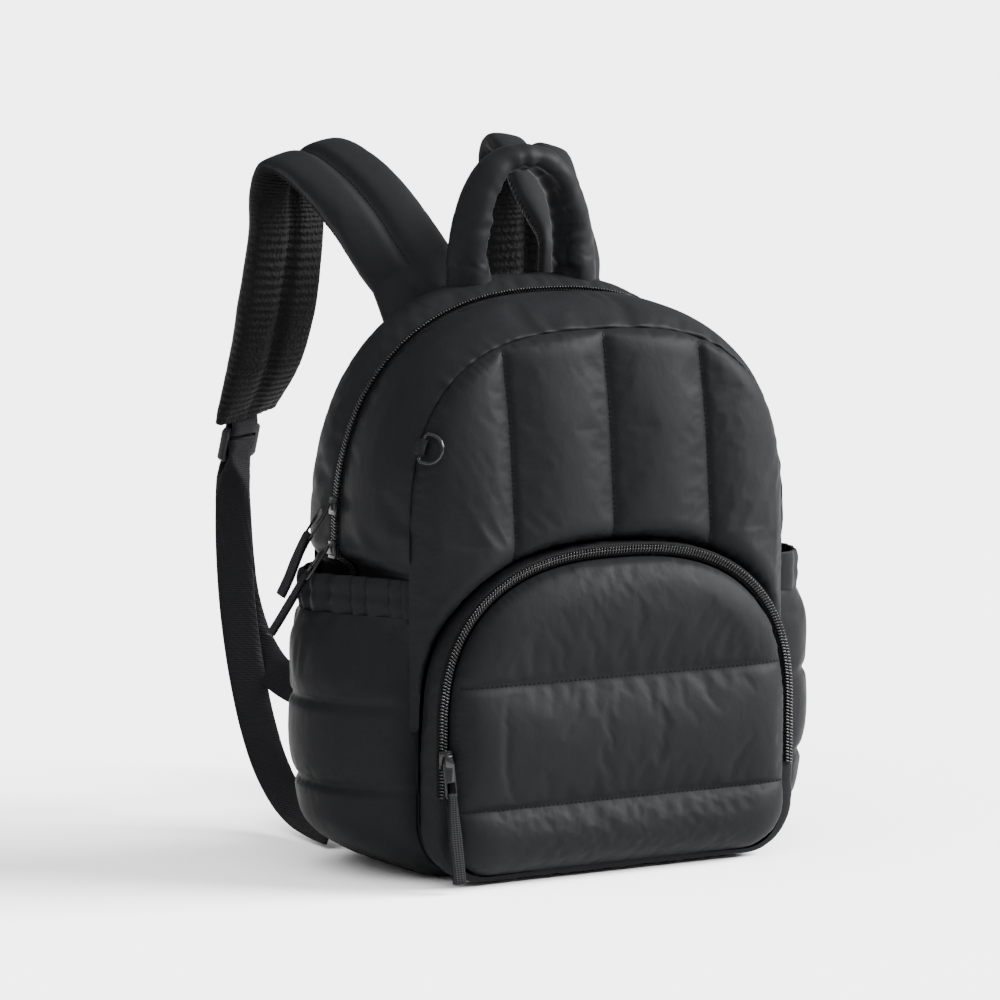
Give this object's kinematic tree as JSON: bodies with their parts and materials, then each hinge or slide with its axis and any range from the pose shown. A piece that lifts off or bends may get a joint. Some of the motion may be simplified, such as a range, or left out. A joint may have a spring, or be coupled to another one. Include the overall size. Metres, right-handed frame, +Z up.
{
  "type": "quilted backpack",
  "caption": "Quilted, lightly padded daypack with a two-way zip over its crown, a zipped front pocket, gathered side pockets, a haul handle and adjustable shoulder straps.",
  "frame": {"origin": "on the flat base the bag stands on, under the middle of its width, 70 mm behind the front seam", "axes": "+Z up, -Y the front with the zipped pocket, +X to the right seen from the front"},
  "size_m": [0.3893, 0.373, 0.4663],
  "materials": {
    "nylon": "satin",
    "mesh": "matte",
    "webbing": "matte",
    "zip": "gloss",
    "plastic": "satin",
    "metal": "satin"
  },
  "bodies": {
    "bag": {"gusset_front": "nylon", "gusset_rear": "nylon", "bottom_boxing": "nylon", "front_panel": "nylon", "pocket_boxing": "nylon", "pocket_face": "nylon", "side_pocket_left": "nylon", "side_pocket_right": "nylon", "pocket_hem_left": "nylon", "pocket_hem_right": "nylon", "haul_handle": "nylon", "shoulder_strap_left": "nylon", "shoulder_strap_right": "nylon", "ribbon_upper": "nylon", "ribbon_lower": "nylon", "ribbon_pocket": "nylon", "back_panel": "mesh", "strap_tab_left": "webbing", "strap_tab_right": "webbing", "webbing_left": "webbing", "webbing_right": "webbing", "d_ring_tab": "webbing", "main_zip": "zip", "pocket_zip": "zip", "ladder_lock_left": "plastic", "ladder_lock_right": "plastic", "slider_upper": "metal", "slider_lower": "metal", "slider_pocket": "metal", "pull_upper": "metal", "pull_lower": "metal", "pull_pocket": "metal"},
    "d_ring": {"d_ring": "metal"}
  },
  "joints": [
    {"name": "d_ring_hinge", "type": "hinge", "parent": "bag", "child": "d_ring", "pos_m": [-0.13509, -0.07625, 0.283], "axis": [-0.3033, 0, -0.9529], "range_deg": [0, 110]}
  ]
}
